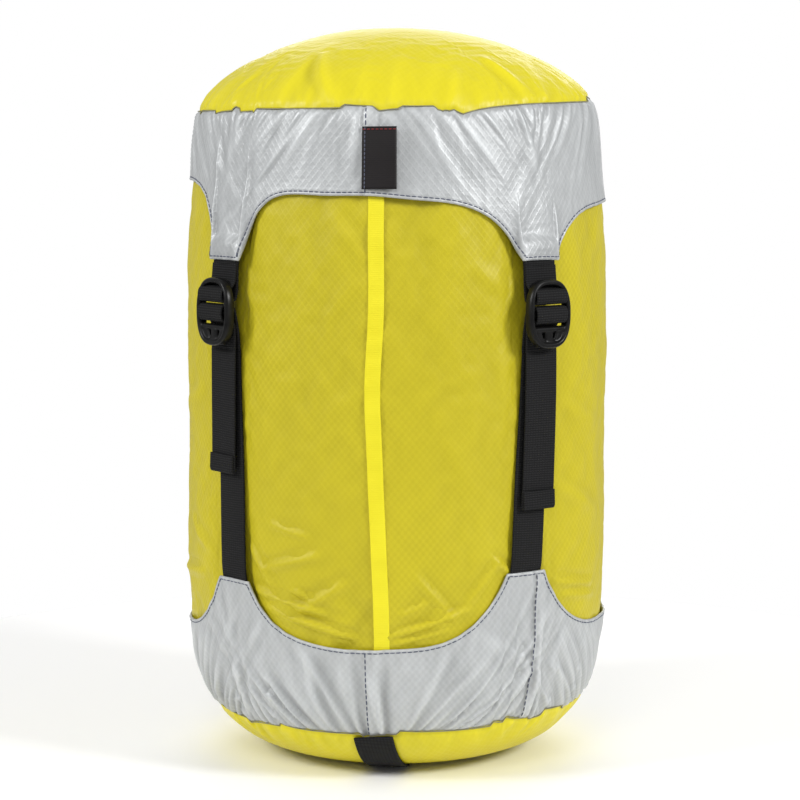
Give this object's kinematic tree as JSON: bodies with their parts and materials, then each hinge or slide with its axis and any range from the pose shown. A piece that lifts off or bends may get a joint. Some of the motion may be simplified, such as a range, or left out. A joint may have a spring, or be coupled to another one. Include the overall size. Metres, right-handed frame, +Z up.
{
  "type": "compression sack",
  "caption": "Round fabric stuff sack with a scalloped cap pulled down by webbing straps through ladder locks, a drawcord mouth under the cap and a base handle.",
  "frame": {"origin": "centre of the flat base, on the surface the sack stands on", "axes": "+Z up along the sack's axis, -Y towards the front with the seam tape and the label"},
  "size_m": [0.2214, 0.2217, 0.378],
  "materials": {
    "body_ripstop": "coated diamond-ripstop nylon, slightly glossy",
    "end_ripstop": "coated diamond-ripstop nylon, slightly glossy",
    "grey_ripstop": "silicone-coated silver-grey ripstop nylon, satin sheen",
    "seam_tape": "smooth woven tape",
    "black_webbing": "woven polypropylene webbing",
    "black_plastic": "moulded acetal, satin",
    "label_weave": "woven label",
    "cord": "braided cord",
    "spring_steel": "spring wire"
  },
  "bodies": {
    "sack": {"side_wall": "body_ripstop", "base_panel": "end_ripstop", "base_band": "grey_ripstop", "base_handle": "black_webbing", "seam_tape": "seam_tape", "load_strap_front_left": "black_webbing", "load_strap_front_right": "black_webbing", "load_strap_back_right": "black_webbing", "load_strap_back_left": "black_webbing"},
    "sack_top": {"collar": "body_ripstop", "mouth_hem": "body_ripstop", "drawcord": "cord", "cord_pull": "black_plastic"},
    "cord_lock": {"cord_lock_barrel": "black_plastic", "cord_lock_spring": "spring_steel"},
    "plunger": {"cord_lock_plunger": "black_plastic"},
    "lid": {"lid_dome": "end_ripstop", "lid_skirt": "grey_ripstop", "label": "label_weave"},
    "buckle_front_left": {"ladder_lock_front_left": "black_plastic", "anchor_loop_front_left": "black_webbing", "strap_wrap_front_left": "black_webbing"},
    "tail_front_left": {"strap_tail_front_left": "black_webbing"},
    "buckle_front_right": {"ladder_lock_front_right": "black_plastic", "anchor_loop_front_right": "black_webbing", "strap_wrap_front_right": "black_webbing"},
    "tail_front_right": {"strap_tail_front_right": "black_webbing"},
    "buckle_back_right": {"ladder_lock_back_right": "black_plastic", "anchor_loop_back_right": "black_webbing", "strap_wrap_back_right": "black_webbing"},
    "tail_back_right": {"strap_tail_back_right": "black_webbing"},
    "buckle_back_left": {"ladder_lock_back_left": "black_plastic", "anchor_loop_back_left": "black_webbing", "strap_wrap_back_left": "black_webbing"},
    "tail_back_left": {"strap_tail_back_left": "black_webbing"}
  },
  "joints": [
    {"name": "compress", "type": "slide", "parent": "sack", "child": "sack_top", "axis": [0, 0, 1], "range_m": [-0.09, 0], "deforming": ["side_wall", "seam_tape", "load_strap_front_left", "load_strap_front_right", "load_strap_back_right", "load_strap_back_left"]},
    {"name": "lid_lift", "type": "slide", "parent": "sack_top", "child": "lid", "axis": [0, 0, 1], "range_m": [0, 0.062]},
    {"name": "cord_lock_slide", "type": "slide", "parent": "sack_top", "child": "cord_lock", "axis": [0, -1, 0], "range_m": [0, 0.01]},
    {"name": "plunger_press", "type": "slide", "parent": "cord_lock", "child": "plunger", "axis": [1, 0, 0], "range_m": [-0.003, 0], "stiffness_N_per_m": 300, "springref_m": 0.004, "deforming": ["cord_lock_spring"]},
    {"name": "buckle_tilt_front_left", "type": "hinge", "parent": "lid", "child": "buckle_front_left", "pos_m": [-0.07902, -0.07902, 0.261], "axis": [-0.7071, 0.7071, 0], "range_deg": [0, 45]},
    {"name": "tail_swing_front_left", "type": "hinge", "parent": "buckle_front_left", "child": "tail_front_left", "pos_m": [-0.0804, -0.0804, 0.217], "axis": [-0.7071, 0.7071, 0], "range_deg": [0, 85]},
    {"name": "buckle_tilt_front_right", "type": "hinge", "parent": "lid", "child": "buckle_front_right", "pos_m": [0.07902, -0.07902, 0.261], "axis": [-0.7071, -0.7071, 0], "range_deg": [0, 45]},
    {"name": "tail_swing_front_right", "type": "hinge", "parent": "buckle_front_right", "child": "tail_front_right", "pos_m": [0.0804, -0.0804, 0.217], "axis": [-0.7071, -0.7071, 0], "range_deg": [0, 85]},
    {"name": "buckle_tilt_back_right", "type": "hinge", "parent": "lid", "child": "buckle_back_right", "pos_m": [0.07902, 0.07902, 0.261], "axis": [0.7071, -0.7071, 0], "range_deg": [0, 45]},
    {"name": "tail_swing_back_right", "type": "hinge", "parent": "buckle_back_right", "child": "tail_back_right", "pos_m": [0.0804, 0.0804, 0.217], "axis": [0.7071, -0.7071, 0], "range_deg": [0, 85]},
    {"name": "buckle_tilt_back_left", "type": "hinge", "parent": "lid", "child": "buckle_back_left", "pos_m": [-0.07902, 0.07902, 0.261], "axis": [0.7071, 0.7071, 0], "range_deg": [0, 45]},
    {"name": "tail_swing_back_left", "type": "hinge", "parent": "buckle_back_left", "child": "tail_back_left", "pos_m": [-0.0804, 0.0804, 0.217], "axis": [0.7071, 0.7071, 0], "range_deg": [0, 85]}
  ]
}
